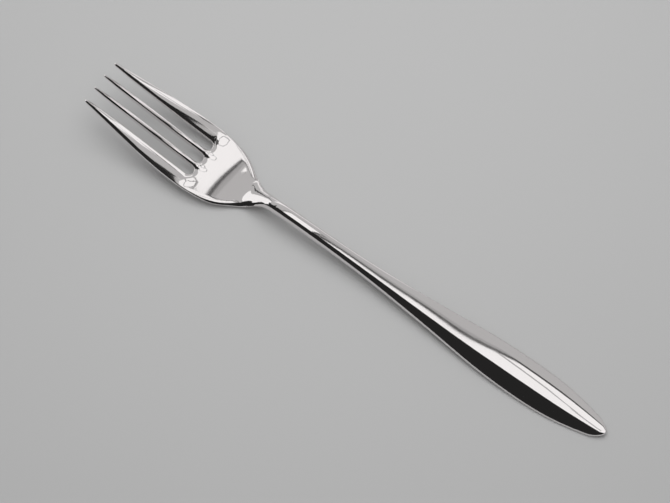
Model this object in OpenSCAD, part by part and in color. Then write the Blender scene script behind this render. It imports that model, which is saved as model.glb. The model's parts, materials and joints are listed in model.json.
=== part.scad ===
// Dinner fork, forged in one piece: four tines, a dished bowl, a slim neck and a crowned handle.
// X runs from the tips to the end of the handle, Y runs across, and Z = 0 is the table it lies on.

/* [Overall] */
// Length from the tips of the tines to the end of the handle
fork_length = 205; // [190:1:225]

/* [Head] */
// Greatest width of the head
head_width = 24.9; // [22:0.1:28]
// Distance from the tips to the widest place of the head
head_widest_at = 40.5; // [36:0.5:44]
// Width across the outer tines, at their tips
tip_span = 17.4; // [16:0.2:19]
// Thickness of the metal along the middle of the bowl
bowl_thickness = 2.3; // [1.8:0.1:3]
// Thickness of the metal at the edge of the bowl
bowl_edge = 1.5; // [1:0.1:2]
// How far the edge of the bowl stands above its middle
bowl_depth = 1.1; // [0.6:0.1:2]
// Width of the rounding along the edge of the bowl
bowl_round = 0.6; // [0.3:0.05:0.9]
// Width of the rounding along the shoulders, where the bowl draws in to the neck
shoulder_round = 2.6; // [1:0.1:3]

/* [Tines] */
// Number of tines
tine_count = 4; // [3:1:4]
// Length of the tines, from their tips to the round ends of the slots
tine_length = 42.5; // [36:0.5:46]
// Distance between the middles of neighbouring slots
slot_pitch = 5.4; // [5.2:0.1:6]
// Width of a slot where it is narrowest
slot_width = 3.45; // [2.8:0.05:3.8]
// Width of an inner tine just behind its rounded tip
tip_width = 0.95; // [0.8:0.05:1.4]
// Length of the rounded tip
tip_round = 1.2; // [0.8:0.1:2]
// Thickness of the metal at the tip
tip_thickness = 1.2; // [0.8:0.1:1.6]
// How far the outer tips stay behind the inner ones
tip_setback = 0.3; // [0:0.1:1]
// How far the middle of a tine stands above its edges
tine_crown = 0.45; // [0.1:0.01:0.6]
// Width of the rounding along a tine
tine_round = 0.38; // [0.2:0.02:0.45]
// Width of that rounding at the tip
tip_edge_round = 0.24; // [0.1:0.02:0.36]

/* [Neck] */
// Width of the neck where it is slimmest
neck_width = 4.7; // [4:0.1:7]
// Distance from the tips to the slimmest place
neck_at = 76; // [72:1:84]
// Thickness of the neck
neck_thickness = 3.8; // [3:0.1:5]
// Thickness of the neck's sides, between their roundings
neck_edge = 2.6; // [1.8:0.1:3.2]
// Width of the rounding along the neck
neck_round = 1.1; // [0.5:0.1:1.6]

/* [Handle] */
// Greatest width of the handle
handle_width = 14.2; // [11:0.2:20]
// Distance from the tips to the widest place of the handle
handle_widest_at = 171; // [160:1:180]
// Thickness of the handle at its edge
handle_edge = 1.1; // [0.8:0.1:1.8]
// How far the middle of the handle's top stands above its edges, at its widest place
handle_crown = 2.7; // [0.8:0.1:3.2]
// How far the middle of the handle's underside stands above its edges
handle_hollow = 0.15; // [0:0.05:0.5]
// Width of the rounding along the edge of the handle
handle_round = 0.4; // [0.2:0.05:0.8]
// Width that the handle tapers to before its end is rounded
end_width = 5.2; // [4:0.2:8]
// Length of the rounded end
end_round = 5; // [3:0.5:8]

/* [Side view] */
// Height of the tips' underside above the table
tip_rise = 13.6; // [8:0.2:20]
// Distance from the tips to the heel, which rests on the table
heel_at = 60; // [55:0.5:62]
// Height of the neck's underside above the table
neck_rise = 5.9; // [3:0.1:8]
// Distance from the tips to the place where the handle rests
rest_at = 194; // [180:1:200]
// Height of the underside at the handle's end
end_rise = 0.1; // [0:0.1:2]

/* [Hidden] */

// Outline of one half, seen from above. Each row is a corner of a smooth curve: its share of the way from
// one named place to the next, and its share of the change in width between them.
flare_shares = [[0, 0], [0.1, 0.11], [0.3, 0.41], [0.55, 0.73], [0.8, 0.97], [1, 1.02]];
shoulder_shares = [
    [0.14, 0.98], [0.3, 0.9], [0.42, 0.75], [0.54, 0.44], [0.68, 0.18], [0.8, 0.02], [0.9, 0], [1, 0]];
swell_shares = [[0.12, 0], [0.26, 0.02], [0.4, 0.12], [0.56, 0.35], [0.7, 0.59], [0.86, 0.94], [1, 1.02]];
taper_shares = [[0.2, 0], [0.42, 0.07], [0.7, 0.4], [1, 1]];

// Height of the underside, told the same way: tips to heel, heel to neck, neck to the place of rest
tine_fall_shares = [
    [0, 0], [0.1, 0.125], [0.28, 0.357], [0.5, 0.635], [0.68, 0.83], [0.84, 0.95], [0.94, 0.992], [1, 1]];
heel_climb_shares = [
    [0.12, 0.02], [0.26, 0.18], [0.42, 0.57], [0.54, 0.86], [0.68, 0.99], [0.85, 1.01], [1, 1]];
neck_fall_shares = [
    [0.05, 0.04], [0.12, 0.15], [0.3, 0.46], [0.5, 0.74], [0.7, 0.89], [0.88, 0.98], [1, 1]];

// How much of a tine's narrowing is left, along the tine from its tip
tip_cut_shares = [[0, 1], [0.08, 0.68], [0.16, 0.3], [0.32, 0.1], [0.6, 0], [1, 0]];

// Where the neck's round section begins, as a share of the way from heel to neck
neck_start_share = 0.62;
// Where it ends, as a share of the way from neck to the place of rest
neck_end_share = 0.3;
// Where the tines have come to full thickness, as a share of their length
tine_full_share = 0.4;
// How deep the dish is, told along the tines, then from the slots' ends to the heel; 1 is its full depth.
// The bulge under the bowl is told in the same way.
dish_in_shares = [[0, 0], [0.45, 0], [1, 1]];
dish_out_shares = [[0.35, 1], [0.72, 0.7], [0.94, 0.6]];
bulge_out_shares = [[0.35, 1], [0.72, 0.8], [0.94, 0.7]];
// How the dish turns over into the neck's crown: share of the way from the heel, and of the change
turn_over_shares = [[0.2, 0.11], [0.43, 0.19], [0.71, 0.51], [1, 0.94]];
// How high the crown is for the handle's width, from the neck to the widest place, and at the handle's end
crown_shares = [[0, 1.02], [0.3, 0.79], [0.75, 0.79], [1, 1.06]];
end_crown_share = 0.93;
// Where the rounding of the edge widens for the shoulders, before the heel, and narrows again after it
roll_shares = [[0.4, 0], [0.83, 1]];
unroll_shares = [[0.3, 0], [1, 1]];

// Counts of rows along each stretch and of columns across each tine and slot
tip_rows = 3;
tine_rows = 17;
arc_rows = 2;
merge_rows = 5;
crown_rows = 2;
bowl_rows = 22;
handle_rows = 26;
end_rows = 4;
tine_cols = 4;
slot_cols = 4;
rim_steps = 8;
curve_steps = 16;

// Rows and columns of the whole body, which runs from the slots' ends to the end of the handle
body_rows = bowl_rows + handle_rows + end_rows;
period = tine_cols + slot_cols;
body_cols = tine_count * tine_cols + (tine_count - 1) * slot_cols;
body_start = tine_count * tine_rows * (tine_cols + 1);
node_count = body_start + (body_rows + 1) * (body_cols + 1);

// Corners between two named places, from shares of the way and of the change
function span(shares, x0, x1, v0, v1) = [for (p = shares) [x0 + p[0] * (x1 - x0), v0 + p[1] * (v1 - v0)]];

// Smooth curve that follows a row of corners and runs from the first to the last
function weigh(a, b, c, d, t) =
    (a * pow(1 - t, 3) + b * (3 * pow(t, 3) - 6 * pow(t, 2) + 4)
    + c * (1 + 3 * t + 3 * pow(t, 2) - 3 * pow(t, 3)) + d * pow(t, 3)) / 6;
function smooth(p) =
    let (n = len(p) - 1, q = concat([2 * p[0] - p[1]], p, [2 * p[n] - p[n - 1]]))
    [for (i = [0:n - 1], j = [0:curve_steps - (i < n - 1 ? 1 : 0)])
        weigh(q[i], q[i + 1], q[i + 2], q[i + 3], j / curve_steps)];

// Half width of the outline
half_curve = smooth(concat(
    span(flare_shares, 0, head_widest_at, tip_span / 2, head_width / 2),
    span(shoulder_shares, head_widest_at, neck_at, neck_width / 2, head_width / 2),
    span(swell_shares, neck_at, handle_widest_at, neck_width / 2, handle_width / 2),
    span(taper_shares, handle_widest_at, fork_length, handle_width / 2, end_width / 2)));
function half(s) = lookup(s, half_curve);

// Height of the underside along the middle
rise_curve = smooth(concat(
    span(tine_fall_shares, 0, heel_at, tip_rise, 0),
    span(heel_climb_shares, heel_at, neck_at, 0, neck_rise),
    span(neck_fall_shares, neck_at, rest_at, neck_rise, 0),
    [[fork_length, end_rise]]));
function rise(s) = lookup(s, rise_curve);

// Places along the fork where its section changes
neck_start = heel_at + neck_start_share * (neck_at - heel_at);
neck_end = neck_at + neck_end_share * (rest_at - neck_at);

// Thickness of the metal at the edge, and width of the rounding there
edge_curve = smooth([[0, tip_thickness], [tine_length * tine_full_share, bowl_thickness],
    [tine_length, bowl_edge], [heel_at, bowl_edge], [neck_start, neck_edge],
    [neck_at, neck_edge], [neck_end, neck_edge], [handle_widest_at, handle_edge],
    [fork_length, handle_edge]]);
round_curve = smooth(concat(
    [[0, tip_edge_round], [tine_length * tine_full_share, tine_round], [tine_length, tine_round]],
    span(roll_shares, tine_length, heel_at, bowl_round, shoulder_round),
    span(unroll_shares, heel_at, neck_start, shoulder_round, neck_round),
    [[neck_at, neck_round], [neck_end, handle_round], [handle_widest_at, handle_round],
    [fork_length, handle_round]]));

// How far the edges stand above the middle, for each unit of half width, on the top and on the underside.
// The top is dished in the bowl and crowned from the neck on. The underside bulges under the bowl and the
// neck, and is a little hollow under the handle, which so rests on its two edges and doesn't rock.
bowl_dish = bowl_depth / (head_width / 2);
handle_dish = -handle_crown / (handle_width / 2);
bowl_bulge = (bowl_depth + bowl_thickness - bowl_edge) / (head_width / 2);
neck_bulge = (neck_thickness - neck_edge) / (neck_width / 2) + handle_dish * crown_shares[0][1];
handle_bulge = -handle_hollow / (handle_width / 2);
dish_curve = smooth(concat(
    span(dish_in_shares, 0, tine_length, 0, bowl_dish),
    span(dish_out_shares, tine_length, heel_at, 0, bowl_dish),
    span(turn_over_shares, heel_at, neck_start, bowl_dish, handle_dish),
    span(crown_shares, neck_at, handle_widest_at, 0, handle_dish),
    [[fork_length, handle_dish * end_crown_share]]));
bulge_curve = smooth(concat(
    span(dish_in_shares, 0, tine_length, 0, bowl_bulge),
    span(bulge_out_shares, tine_length, heel_at, 0, bowl_bulge),
    [[neck_start, neck_bulge], [neck_at, neck_bulge], [neck_end, neck_bulge],
    [handle_widest_at, handle_bulge], [fork_length, handle_bulge]]));

// Underside and top at a distance s from the tips and y from the middle
function rounding(s) = lookup(s, round_curve);
function lift(curve, s, y) = lookup(s, curve) * half(s) * pow(min(1, abs(y) / half(s)), 2);
function underside(s, y) = rise(s) + lift(bulge_curve, s, y);
function top(s, y) =
    rise(s) + lookup(s, edge_curve) + lift(dish_curve, s, y)
    + (lookup(s, bulge_curve) - lookup(s, dish_curve)) * half(s);

// Slots: their middles, half their width, and the narrowing of the tines toward the tips
cut_curve = smooth(span(tip_cut_shares, 0, tine_length, 0, (slot_pitch - slot_width - tip_width) / 2));
slot_radius = slot_width / 2;
slot_center = tine_length - slot_radius;
root_s = slot_center + slot_radius * cos(45);
function slot_y(k) = (k - (tine_count - 2) / 2) * slot_pitch;
function gap(s) = slot_radius + (s < tine_length ? lookup(s, cut_curve) : 0);

// Row i of tine k, seen from above: u runs from -1 to 1 across it, and g is how far its outline is drawn
// in. The rows bend round the tip, run straight along the tine and follow the slots' ends up to 45 degrees.
function tip_s(k) = k == 0 || k == tine_count - 1 ? tip_setback : 0;
function tine_row_s(k, i) =
    let (start = tip_s(k) + tip_round)
    start + (slot_center - start) * max(0, i - tip_rows) / (tine_rows - arc_rows - tip_rows);
function tine_plan(k, i, u, g) =
    let (
        v = max(0, 1 - i / tip_rows),
        turn = 45 * max(0, i - tine_rows + arc_rows) / arc_rows,
        s = tine_row_s(k, min(i, tine_rows - arc_rows)) + (slot_radius + g) * sin(turn)
            - (tip_round - g) * v * sqrt(1 - u * u / 2),
        reach = turn > 0 ? (slot_radius + g) * cos(turn) : gap(s) + g,
        low = k == 0 ? g - half(s) : slot_y(k - 1) + reach,
        high = k == tine_count - 1 ? half(s) - g : slot_y(k) - reach
    )
    [s, (low + high) / 2 + u * (high - low) / 2 * sqrt(1 - v * v / 2)];

// The body's first row, which follows the round ends of the slots between the tines
function root_plan(c, g) =
    let (k = floor(c / period), j = c - k * period, turn = 45 - 90 * (j - tine_cols) / slot_cols)
    j <= tine_cols
        ? tine_plan(k, tine_rows, 2 * j / tine_cols - 1, g)
        : [slot_center + (slot_radius + g) * cos(turn), slot_y(k) - (slot_radius + g) * sin(turn)];

// Row i of the body, at column c: it straightens behind the slots and bends round the end of the handle
end_start = fork_length - end_round;
function body_row_s(i) =
    i <= bowl_rows
        ? root_s + (neck_at - root_s) * i / bowl_rows
        : neck_at + (end_start - neck_at) * min(1, (i - bowl_rows) / handle_rows);
function body_plan(i, c, g) =
    let (
        seam = min(g, rounding(root_s)),
        first = root_plan(c, seam),
        u = first[1] / (half(root_s) - seam),
        v = max(0, 1 - (body_rows - i) / end_rows),
        left = max(0, 1 - i / merge_rows),
        s = body_row_s(i) + (first[0] - root_s) * left + (end_round - g) * v * sqrt(1 - u * u / 2)
    )
    i == 0 ? first : [s, u * sqrt(1 - v * v / 2) * (half(s) - g)];

// A place on the sheet is [block, row, column]: blocks are the tines, and after them the body
function index(n) =
    n[0] < tine_count && n[1] < tine_rows
        ? (n[0] * tine_rows + n[1]) * (tine_cols + 1) + n[2]
        : body_start + (n[0] < tine_count ? n[0] * period + n[2] : n[1] * (body_cols + 1) + n[2]);
function row_s(n) =
    n[0] < tine_count ? tine_row_s(n[0], min(n[1], tine_rows - arc_rows)) : body_row_s(n[1]);
function plan(n, g) =
    n[0] < tine_count ? tine_plan(n[0], n[1], 2 * n[2] / tine_cols - 1, g) : body_plan(n[1], n[2], g);

// The tines' crown, which fades out round the tips and just behind the slots
function crown(n) =
    let (
        in_tine = n[0] < tine_count,
        j = in_tine ? n[2] : n[2] - floor(n[2] / period) * period,
        u = 2 * min(j, tine_cols) / tine_cols - 1,
        fade = in_tine ? min(1, n[1] / tip_rows) : max(0, 1 - n[1] / crown_rows)
    )
    tine_crown * (1 - u * u) * fade * (2 - fade);

// Points on the top and the underside, inside the rounded edge
places = concat(
    [for (k = [0:tine_count - 1], i = [0:tine_rows - 1], j = [0:tine_cols]) [k, i, j]],
    [for (i = [0:body_rows], c = [0:body_cols]) [tine_count, i, c]]);
inner = [for (n = places) plan(n, rounding(row_s(n)))];
top_points = [for (i = [0:node_count - 1]) let (p = inner[i])
    [p[0], p[1], top(p[0], p[1]) + crown(places[i])]];
underside_points = [for (p = inner) [p[0], p[1], underside(p[0], p[1])]];

// The way round the outline: along each tine and slot, down one side, round the end and back
way_round = concat(
    [for (k = [0:tine_count - 1]) each concat(
        [for (i = [tine_rows:-1:0]) [k, i, 0]],
        [for (j = [1:tine_cols]) [k, 0, j]],
        [for (i = [1:tine_rows]) [k, i, tine_cols]],
        [if (k < tine_count - 1) for (j = [1:slot_cols - 1]) [tine_count, 0, k * period + tine_cols + j]])],
    [for (i = [1:body_rows]) [tine_count, i, body_cols]],
    [for (c = [body_cols - 1:-1:0]) [tine_count, body_rows, c]],
    [for (i = [body_rows - 1:-1:1]) [tine_count, i, 0]]);

// Points of the rounded edge, from just under the top to just over the underside
rim_points = [for (n = way_round)
    let (outer_p = plan(n, 0), inner_p = inner[index(n)])
    for (j = [1:rim_steps - 1])
        let (
            turn = 90 - 180 * j / rim_steps,
            p = outer_p + (inner_p - outer_p) * (1 - cos(turn)),
            high = top(p[0], p[1]),
            low = underside(p[0], p[1])
        )
        [p[0], p[1], (high + low) / 2 + (high - low) / 2 * sin(turn)]];
function rim_index(i, j) =
    let (w = i % len(way_round), n = index(way_round[w]))
    j == 0 ? n : j == rim_steps ? n + node_count : 2 * node_count + w * (rim_steps - 1) + j - 1;

// Faces: two triangles to each cell of the top, of the underside and of the rim
function cell(a, b, c, d) = [[a, b, c], [a, c, d]];
cells = concat(
    [for (k = [0:tine_count - 1], i = [0:tine_rows - 1], j = [0:tine_cols - 1])
        [index([k, i, j]), index([k, i, j + 1]), index([k, i + 1, j + 1]), index([k, i + 1, j])]],
    [for (i = [0:body_rows - 1], c = [0:body_cols - 1]) let (b = tine_count)
        [index([b, i, c]), index([b, i, c + 1]), index([b, i + 1, c + 1]), index([b, i + 1, c])]]);
faces = concat(
    [for (q = cells) each cell(q[0], q[1], q[2], q[3])],
    [for (q = cells) each cell(q[3] + node_count, q[2] + node_count, q[1] + node_count, q[0] + node_count)],
    [for (i = [0:len(way_round) - 1], j = [0:rim_steps - 1])
        each cell(rim_index(i, j), rim_index(i, j + 1), rim_index(i + 1, j + 1), rim_index(i + 1, j))]);

// The fork is let down until its lowest point touches the table
points = concat(top_points, underside_points, rim_points);
lowest = min([for (p = points) p[2]]);

module fork() {
    color("silver")
        translate([-fork_length / 2, 0, -lowest])
            polyhedron(points, faces, convexity = 8);
}

fork();
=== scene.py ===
# %% [markdown]
# # A dinner fork in polished steel
# The fork comes from the CAD model as one solid, because a real one is stamped from one strip of steel. This lesson
# gives it a smooth skin, the finish of mirror-polished steel, a pale table and the soft light of a small studio.

# %% Load the fork
import bpy
import json
import math
from mathutils import Matrix, Vector

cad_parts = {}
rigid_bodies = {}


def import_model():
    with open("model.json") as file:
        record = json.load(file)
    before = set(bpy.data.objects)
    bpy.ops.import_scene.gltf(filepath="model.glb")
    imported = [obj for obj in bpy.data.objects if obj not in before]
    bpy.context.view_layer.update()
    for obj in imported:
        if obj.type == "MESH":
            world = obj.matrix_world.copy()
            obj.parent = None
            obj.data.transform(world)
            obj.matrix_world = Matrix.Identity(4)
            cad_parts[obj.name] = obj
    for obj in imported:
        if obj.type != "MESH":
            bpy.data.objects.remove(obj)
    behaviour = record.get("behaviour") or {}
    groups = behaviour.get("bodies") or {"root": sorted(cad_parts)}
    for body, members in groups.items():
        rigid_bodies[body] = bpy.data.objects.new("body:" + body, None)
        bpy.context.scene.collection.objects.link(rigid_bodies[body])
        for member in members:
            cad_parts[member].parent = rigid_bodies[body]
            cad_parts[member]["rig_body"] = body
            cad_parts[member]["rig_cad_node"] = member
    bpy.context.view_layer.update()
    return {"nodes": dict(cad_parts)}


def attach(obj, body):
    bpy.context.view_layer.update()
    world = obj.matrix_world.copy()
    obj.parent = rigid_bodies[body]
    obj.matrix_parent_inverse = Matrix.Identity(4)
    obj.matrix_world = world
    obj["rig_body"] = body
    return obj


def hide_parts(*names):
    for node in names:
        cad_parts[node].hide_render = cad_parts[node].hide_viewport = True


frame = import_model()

cad_fork = frame["nodes"]["fork"]

# %% [markdown]
# ## One smooth skin
# The CAD mesh is loose triangles, and polished steel shows every one of them as a facet. The skin is a copy of that
# mesh with its doubles merged, so that smooth shading can run across the old edges. It is not subdivided: a
# subdivision draws the slender tips thin and ragged.


# %% Copy the fork and merge it
def only(obj):
    """Select this object and nothing else."""
    bpy.ops.object.select_all(action="DESELECT")
    obj.select_set(True)
    bpy.context.view_layer.objects.active = obj


merge_within = 1e-6

only(cad_fork)
bpy.ops.object.duplicate()
fork = bpy.context.active_object
fork.name = "polished_fork"
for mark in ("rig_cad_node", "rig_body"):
    if mark in fork:
        del fork[mark]
only(fork)
bpy.ops.object.mode_set(mode="EDIT")
bpy.ops.mesh.select_all(action="SELECT")
bpy.ops.mesh.remove_doubles(threshold=merge_within)
bpy.ops.object.mode_set(mode="OBJECT")
print("merged skin:", len(fork.data.vertices), "points,", len(fork.data.polygons), "faces")

# %% [markdown]
# ## The middle tines
# On the real fork the tops of the two middle tines are ground nearly flat, so each one carries a clear white stripe
# with a dark line beside it. The grinding is done here point by point: the shoulders of the round top are filled up to
# the crown and the whole top leans a few degrees. It fades out toward the roots and the tips.

# %% Flatten the middle tines
tine_centre = 0.0027
lean = 0.06
crown_half, tine_half, crown_fill = 0.00060, 0.00100, 950.0
root_from, root_full = -0.060, -0.068
tip_from, tip_full = -0.097, -0.088
top_facing = 0.1

ground = 0
for point in fork.data.vertices:
    x, y, z = point.co
    past_root = min(max((root_from - x) / (root_from - root_full), 0.0), 1.0)
    if past_root > 0 and abs(abs(y) - tine_centre) < tine_centre / 2:
        off = y - math.copysign(tine_centre, y)
        z += lean * past_root * off
        if point.normal.z > top_facing:
            filled = min(abs(off), crown_half)
            wall = min(max((tine_half - abs(off)) / (tine_half - crown_half), 0.0), 1.0)
            body = min(max((x - tip_from) / (tip_full - tip_from), 0.0), 1.0)
            z += crown_fill * past_root * body * filled ** 2 * wall
        point.co.z = z
        ground += 1
print("points ground on the middle tines:", ground)

# %% [markdown]
# ## The climb and the handle
# Behind the bowl the metal climbs steeply to the neck and is crowned across, and the bowl and the handle are not quite
# true along their length. The crown takes up to seven tenths of a millimetre off the shoulders' edges and the other two
# forms are about a tenth, but a mirror shows them all as the curve of every border between white, grey and black.


# %% Crown the climb and true the handle
def bell(distance, reach):
    """One in the middle, a smooth nothing at the reach and beyond."""
    return 0.5 + 0.5 * math.cos(math.pi * min(abs(distance) / reach, 1.0))


climb_at, climb_reach, climb_crown = -0.035, 0.010, 45.0
bowl_dip = (-0.043, 0.014, -0.00008)
handle_rise = (0.034, 0.034, 0.00010)
skin_facing = 0.2

for point in fork.data.vertices:
    if point.normal.z > skin_facing:
        x, y, z = point.co
        z -= climb_crown * y * y * bell(x - climb_at, climb_reach)
        for at, reach, rise in (bowl_dip, handle_rise):
            z += rise * bell(x - at, reach)
        point.co.z = z
print("bowl dip:", bowl_dip[2], "m, handle rise:", handle_rise[2], "m")

# %% Smooth the skin and let it stand for the fork
bpy.ops.object.shade_smooth()
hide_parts("fork")
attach(fork, "root")
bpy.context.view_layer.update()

# %% [markdown]
# ## Polished steel
# A fork is ground lengthwise and then buffed on soft wheels. What is left of the grinding is hairlines along the fork
# that only show at the edge of a reflection and a very slight waviness of the mirror. The wheel also draws the steep
# climb out into one soft sweep. Each is an effect of its own, so each is a node group that gives heights and masks.


# %% Helpers for node groups
def add_group(name, inputs, outputs):
    """A new shader node group with its named sockets, its inlet and its outlet."""
    group = bpy.data.node_groups.new(name, "ShaderNodeTree")
    for socket_name, kind, value in inputs:
        socket = group.interface.new_socket(socket_name, in_out="INPUT", socket_type=kind)
        if value is not None:
            socket.default_value = value
    for socket_name, kind in outputs:
        group.interface.new_socket(socket_name, in_out="OUTPUT", socket_type=kind)
    return group, group.nodes.new("NodeGroupInput"), group.nodes.new("NodeGroupOutput")


def add_node(tree, kind, **settings):
    """A new node of this kind with its settings."""
    node = tree.nodes.new(kind)
    for key, value in settings.items():
        setattr(node, key, value)
    return node


# %% Hairlines
def make_hairlines():
    """Fine noise drawn out along the fork: its height, and a mask of the rougher lines."""
    group, inlet, outlet = add_group(
        "hairlines",
        [("Place", "NodeSocketVector", None), ("Fineness", "NodeSocketFloat", 9000.0)],
        [("Height", "NodeSocketFloat"), ("Mask", "NodeSocketFloat")],
    )
    stretch = add_node(group, "ShaderNodeMapping")
    stretch.inputs["Scale"].default_value = (0.012, 1.0, 1.0)
    lines = add_node(group, "ShaderNodeTexNoise", noise_dimensions="3D")
    lines.inputs["Detail"].default_value = 3.0
    lines.inputs["Roughness"].default_value = 0.6
    sharpen = add_node(group, "ShaderNodeMapRange")
    sharpen.inputs["From Min"].default_value = 0.45
    sharpen.inputs["From Max"].default_value = 0.75
    group.links.new(inlet.outputs["Place"], stretch.inputs["Vector"])
    group.links.new(stretch.outputs["Vector"], lines.inputs["Vector"])
    group.links.new(inlet.outputs["Fineness"], lines.inputs["Scale"])
    group.links.new(lines.outputs["Fac"], outlet.inputs["Height"])
    group.links.new(lines.outputs["Fac"], sharpen.inputs["Value"])
    group.links.new(sharpen.outputs["Result"], outlet.inputs["Mask"])
    return group


hairlines = make_hairlines()
print("group:", hairlines.name)


# %% Waviness of the mirror
def make_waviness():
    """Long low waves of the surface, and a cloud of slightly warmer and cooler metal."""
    group, inlet, outlet = add_group(
        "waviness",
        [("Place", "NodeSocketVector", None), ("Waves per metre", "NodeSocketFloat", 220.0)],
        [("Height", "NodeSocketFloat"), ("Cloud", "NodeSocketFloat")],
    )
    stretch = add_node(group, "ShaderNodeMapping")
    stretch.inputs["Scale"].default_value = (0.35, 1.0, 1.0)
    waves = add_node(group, "ShaderNodeTexNoise", noise_dimensions="3D")
    waves.inputs["Detail"].default_value = 1.0
    group.links.new(inlet.outputs["Place"], stretch.inputs["Vector"])
    group.links.new(stretch.outputs["Vector"], waves.inputs["Vector"])
    group.links.new(inlet.outputs["Waves per metre"], waves.inputs["Scale"])
    group.links.new(waves.outputs["Fac"], outlet.inputs["Height"])
    cloud = add_node(group, "ShaderNodeTexNoise", noise_dimensions="3D")
    cloud.inputs["Scale"].default_value = 60.0
    cloud.inputs["Detail"].default_value = 4.0
    group.links.new(inlet.outputs["Place"], cloud.inputs["Vector"])
    group.links.new(cloud.outputs["Fac"], outlet.inputs["Cloud"])
    return group


waviness = make_waviness()
print("group:", waviness.name)


# %% Sweep of the buffing wheel
def make_wheel_sweep(foot, head):
    """A height that falls along the climb, from its foot to its head, and softens the slope that is seen."""
    group, inlet, outlet = add_group(
        "wheel_sweep", [("Place", "NodeSocketVector", None)], [("Height", "NodeSocketFloat")]
    )
    along = add_node(group, "ShaderNodeSeparateXYZ")
    sweep = add_node(group, "ShaderNodeMapRange", interpolation_type="SMOOTHSTEP")
    sweep.inputs["From Min"].default_value = foot
    sweep.inputs["From Max"].default_value = head
    sweep.inputs["To Min"].default_value = 1.0
    sweep.inputs["To Max"].default_value = 0.0
    group.links.new(inlet.outputs["Place"], along.inputs["Vector"])
    group.links.new(along.outputs["X"], sweep.inputs["Value"])
    group.links.new(sweep.outputs["Result"], outlet.inputs["Height"])
    return group


wheel_sweep = make_wheel_sweep(-0.0405, -0.0325)
print("group:", wheel_sweep.name)


# %% The steel itself
def make_polished_steel(sweep_depth, wave_depth, line_depth):
    """Mirror steel: the three heights one after the other, a faint cloud of colour and hairline gloss."""
    steel = bpy.data.materials.new("polished_steel_mirror")
    steel.use_nodes = True
    tree = steel.node_tree
    tree.nodes.clear()
    out = add_node(tree, "ShaderNodeOutputMaterial")
    shader = add_node(tree, "ShaderNodeBsdfPrincipled")
    shader.inputs["Metallic"].default_value = 1.0
    place = add_node(tree, "ShaderNodeTexCoord")

    sweep = add_node(tree, "ShaderNodeGroup", node_tree=wheel_sweep)
    waves = add_node(tree, "ShaderNodeGroup", node_tree=waviness)
    waves.inputs["Waves per metre"].default_value = 220.0
    lines = add_node(tree, "ShaderNodeGroup", node_tree=hairlines)
    lines.inputs["Fineness"].default_value = 9000.0

    tint = add_node(tree, "ShaderNodeMix", data_type="RGBA")
    tint.inputs["A"].default_value = (0.800, 0.765, 0.760, 1.0)
    tint.inputs["B"].default_value = (0.850, 0.825, 0.822, 1.0)
    tree.links.new(waves.outputs["Cloud"], tint.inputs["Factor"])
    tree.links.new(tint.outputs["Result"], shader.inputs["Base Color"])

    gloss = add_node(tree, "ShaderNodeMapRange")
    gloss.inputs["To Min"].default_value = 0.04
    gloss.inputs["To Max"].default_value = 0.08
    tree.links.new(lines.outputs["Mask"], gloss.inputs["Value"])
    tree.links.new(gloss.outputs["Result"], shader.inputs["Roughness"])

    normal = None
    for effect, depth in ((sweep, sweep_depth), (waves, wave_depth), (lines, line_depth)):
        tree.links.new(place.outputs["Object"], effect.inputs["Place"])
        bump = add_node(tree, "ShaderNodeBump")
        bump.inputs["Strength"].default_value = 1.0
        bump.inputs["Distance"].default_value = depth
        tree.links.new(effect.outputs["Height"], bump.inputs["Height"])
        if normal:
            tree.links.new(normal, bump.inputs["Normal"])
        normal = bump.outputs["Normal"]
    tree.links.new(normal, shader.inputs["Normal"])
    tree.links.new(shader.outputs["BSDF"], out.inputs["Surface"])
    return steel


polished_steel = make_polished_steel(sweep_depth=0.0032, wave_depth=0.000004, line_depth=0.0000006)
fork.data.materials.clear()
fork.data.materials.append(polished_steel)
print("steel on the fork:", [slot.name for slot in fork.data.materials])

# %% [markdown]
# ## The table
# The fork lies on a plain matt sheet. Its colour is written as it should render, and its only pattern is a very faint
# unevenness of tone, so that nothing on it competes with the metal.

# %% Make the table
table_size = 6.0
bpy.ops.object.select_all(action="DESELECT")
bpy.ops.mesh.primitive_plane_add(size=table_size, location=(0.0, 0.0, 0.0))
table = bpy.context.active_object
table.name = "table"

table_matt = bpy.data.materials.new("table_matt")
table_matt.use_nodes = True
tree = table_matt.node_tree
paint = tree.nodes["Principled BSDF"]
paint.inputs["Roughness"].default_value = 0.9
paint.inputs["Specular IOR Level"].default_value = 0.1
spot = add_node(tree, "ShaderNodeTexCoord")
mottle = add_node(tree, "ShaderNodeTexNoise")
mottle.inputs["Scale"].default_value = 5.0
tone = add_node(tree, "ShaderNodeMix", data_type="RGBA")
tone.inputs["A"].default_value = (0.475, 0.475, 0.475, 1.0)
tone.inputs["B"].default_value = (0.485, 0.485, 0.485, 1.0)
tree.links.new(spot.outputs["Object"], mottle.inputs["Vector"])
tree.links.new(mottle.outputs["Fac"], tone.inputs["Factor"])
tree.links.new(tone.outputs["Result"], paint.inputs["Base Color"])
table.data.materials.append(table_matt)
print("table:", table_size, "m")

# %% [markdown]
# ## The studio
# Polished steel has no colour of its own: what it shows is the room. A large softbox hangs over the right of the fork
# and gives the white areas. Its dark rim and a soft fold of its cloth give the lines beside them, a seam between its
# two cloths gives the thin line down the handle, and the camera's unlit side gives the black. The cards are seen by
# the mirror alone, so they can be set one by one without changing the light on the table.


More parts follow.
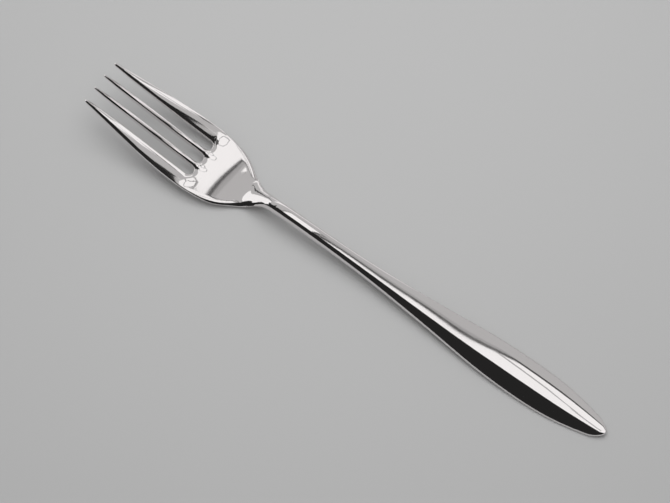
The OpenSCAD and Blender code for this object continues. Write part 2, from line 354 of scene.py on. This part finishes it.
# %% Card helper
def card(name, corners, strength):
    """A flat card that only mirrors see; corners run near left, near right, far left, far right."""
    bpy.ops.object.select_all(action="DESELECT")
    bpy.ops.mesh.primitive_plane_add(size=1.0, location=(0.0, 0.0, 0.0))
    piece = bpy.context.active_object
    piece.name = name
    for point, corner in zip(piece.data.vertices, corners):
        point.co = corner
    glow = bpy.data.materials.new(name + "_glow")
    glow.use_nodes = True
    tree = glow.node_tree
    tree.nodes.clear()
    lit = add_node(tree, "ShaderNodeEmission")
    lit.inputs["Strength"].default_value = strength
    out = add_node(tree, "ShaderNodeOutputMaterial")
    tree.links.new(lit.outputs["Emission"], out.inputs["Surface"])
    piece.data.materials.append(glow)
    piece.visible_camera = False
    piece.visible_diffuse = False
    piece.visible_shadow = False
    piece.visible_transmission = False
    return piece


def level_card(name, corners, height, strength):
    """A card that lies level at one height."""
    return card(name, [(x, y, height) for x, y in corners], strength)


# %% Softbox
white = 1.05
ceiling = 0.9
step_back = 0.001
rim, soft_rim, far_rim = 0.016, 0.045, 0.26
left_near, left_far, right, near, far = -0.0289, 0.0263, 2.7, -0.148, 0.95


def softbox_card(name, wider, longer, steps, strength):
    """The softbox's own outline, made wider on the left and longer at the far end, a few steps further back."""
    corners = [(left_near - wider, near), (right, near), (left_far - wider, far + longer), (right, far + longer)]
    return level_card(name, corners, ceiling + steps * step_back, strength)


softbox_card("softbox_cloth", 0.0, 0.0, 0, white)
softbox_card("softbox_rim", rim, far_rim, 1, 0.09)
softbox_card("softbox_fold", soft_rim, far_rim, 2, 0.42)
level_card("unlit_side", [(-8.0, -12.0), (8.0, -12.0), (-8.0, near), (8.0, near)], ceiling + 3 * step_back, 0.02)
print("softbox:", round(right - left_near, 3), "by", round(far - near, 3), "m at", ceiling, "m")

# %% Seam of the softbox
seam_points = [(0.0, 0.585), (0.117, 0.414), (0.20, 0.15), (0.26, -0.12)]
seam_width = 0.10
for (x0, y0), (x1, y1) in zip(seam_points, seam_points[1:]):
    corners = [(x0, y0 - seam_width / 2), (x1, y1 - seam_width / 2),
               (x0, y0 + seam_width / 2), (x1, y1 + seam_width / 2)]
    level_card("softbox_seam", corners, ceiling - 2 * step_back, 0.45)
print("seam:", len(seam_points) - 1, "strips,", seam_width, "m wide")

# %% [markdown]
# ## Windows and low cards
# The climb looks out to the left, where a tall window gives the white flare and a dark post beside it the thin line.
# The low cards are held a hand's breadth over the fork, as a photographer would hold them. Because they are so near,
# each is seen by one stretch of the fork only: grey and dark ones by the tines, white ones by the tips and the neck.

# %% Windows
window_x, window_top = -0.8, 1.15


def window_card(name, start, end, strength):
    """An upright card on the left from one depth to another."""
    corners = [(window_x, start, 0.0), (window_x, end, 0.0), (window_x, start, window_top), (window_x, end, window_top)]
    return card(name, corners, strength)


window_card("side_window", -0.9, 0.30, white)
window_card("side_post", 0.46, 0.56, 0.08)
card("far_wall", [(-0.40, 0.5, 0.0), (-0.035, 0.5, 0.0), (-0.40, 0.5, 0.25), (-0.035, 0.5, 0.25)], 0.85)
print("window top:", window_top, "m")

# %% Low cards over the tines
low = 0.10
flag_grey = 0.52
level_card("tine_flag_near", [(-0.090, -0.027), (-0.0518, -0.027), (-0.077, -0.010), (-0.0518, 0.035)], low, flag_grey)
level_card("tine_flag_far", [(-0.077, -0.010), (-0.0518, 0.035), (-0.062, 0.045), (-0.0518, 0.147)], low, flag_grey)
level_card("tine_shade", [(-0.0666, -0.0275), (-0.0548, -0.0275), (-0.0600, -0.0120), (-0.0548, 0.0200)],
           low - 0.0005, 0.02)
level_card("tine_cloth", [(-0.080, 0.045), (-0.054, 0.120), (-0.080, 0.400), (-0.054, 0.400)], low + 0.0005, white)
print("low cards over the tines at", low, "m")

# %% Low cards over the bowl and the neck
level_card("glint_card", [(-0.0558, 0.0168), (-0.0518, 0.0162), (-0.0558, 0.0170), (-0.0518, 0.0190)],
           low - 0.002, 1.2)
level_card("neck_card", [(-0.040, -0.020), (-0.018, -0.020), (-0.036, 0.050), (-0.014, 0.050)], low, white)
level_card("neck_card_rim", [(-0.0410, -0.020), (-0.0165, -0.020), (-0.0375, 0.056), (-0.0120, 0.056)],
           low + 0.001, 0.10)

# %% [markdown]
# ## Light on the table
# One soft lamp over the tines lights the sheet, a little brighter at the top of the picture, and lays the faint shadow
# along the near side of the fork. The room gives the rest: one grey for the mirror, a softer one for matt things.


# %% Lamp
def lamp(name, place, aim, size, power):
    """A square soft lamp that mirrors and the camera don't see."""
    data = bpy.data.lights.new(name, "AREA")
    data.shape = "SQUARE"
    data.size = size
    data.energy = power
    obj = bpy.data.objects.new(name, data)
    bpy.context.scene.collection.objects.link(obj)
    obj.location = place
    obj.rotation_euler = (Vector(aim) - Vector(place)).to_track_quat("-Z", "Y").to_euler()
    obj.visible_glossy = False
    obj.visible_camera = False
    return obj


overhead = lamp("overhead", (-0.07, 0.11, 0.45), (-0.02, 0.04, 0.0), 0.45, 1.85)
print("lamp:", overhead.name, "at", tuple(round(v, 2) for v in overhead.location))

# %% The room
mirror_grey, soft_grey, seen_grey = 0.52, 0.36, 0.55

room = bpy.data.worlds.new("room")
bpy.context.scene.world = room
room.use_nodes = True
room.cycles.sampling_method = "NONE"
tree = room.node_tree
tree.nodes.clear()
out = add_node(tree, "ShaderNodeOutputWorld")
path = add_node(tree, "ShaderNodeLightPath")
mirror_room, soft_room, seen_room = (add_node(tree, "ShaderNodeBackground") for _ in range(3))
for backdrop, grey in ((mirror_room, mirror_grey), (soft_room, soft_grey), (seen_room, seen_grey)):
    backdrop.inputs["Color"].default_value = (grey, grey, grey, 1.0)
pick_mirror = add_node(tree, "ShaderNodeMixShader")
tree.links.new(path.outputs["Is Glossy Ray"], pick_mirror.inputs["Fac"])
tree.links.new(soft_room.outputs["Background"], pick_mirror.inputs[1])
tree.links.new(mirror_room.outputs["Background"], pick_mirror.inputs[2])
pick_seen = add_node(tree, "ShaderNodeMixShader")
tree.links.new(path.outputs["Is Camera Ray"], pick_seen.inputs["Fac"])
tree.links.new(pick_mirror.outputs["Shader"], pick_seen.inputs[1])
tree.links.new(seen_room.outputs["Background"], pick_seen.inputs[2])
tree.links.new(pick_seen.outputs["Shader"], out.inputs["Surface"])
print("room:", room.name, "greys", mirror_grey, soft_grey, seen_grey)

# %% [markdown]
# ## The camera
# The photograph is taken from steeply above, with the tines at the upper left. The angles, the distance and the lens
# were fitted to the outline of the fork in a picture of 670 by 503 pixels.

# %% Place the camera
azimuth, elevation, roll = math.radians(-35.776), math.radians(71.21), math.radians(-0.446)
aim = Vector((-0.00541, 0.00045, 0.0))
distance = 0.700
picture_width = 670
focal_pixels = 2092.3
sensor = 36.0

back = Vector((
    math.sin(-azimuth) * math.cos(elevation),
    -math.cos(azimuth) * math.cos(elevation),
    math.sin(elevation),
))
level = Vector((0.0, 0.0, 1.0)).cross(back).normalized()
upward = back.cross(level)
tilted_right = math.cos(roll) * level + math.sin(roll) * upward
tilted_up = -math.sin(roll) * level + math.cos(roll) * upward

camera_data = bpy.data.cameras.new("camera")
camera_data.sensor_width = sensor
camera_data.lens = focal_pixels * sensor / picture_width
camera = bpy.data.objects.new("camera", camera_data)
bpy.context.scene.collection.objects.link(camera)
turn = Matrix((tilted_right, tilted_up, back)).transposed()
camera.matrix_world = Matrix.Translation(aim + back * distance) @ turn.to_4x4()
bpy.context.scene.camera = camera
print("camera at", [round(v, 4) for v in camera.matrix_world.translation], "lens", round(camera_data.lens, 2))

# %% Look of the picture
bpy.context.scene.view_settings.view_transform = "Standard"
print("view:", bpy.context.scene.view_settings.view_transform)
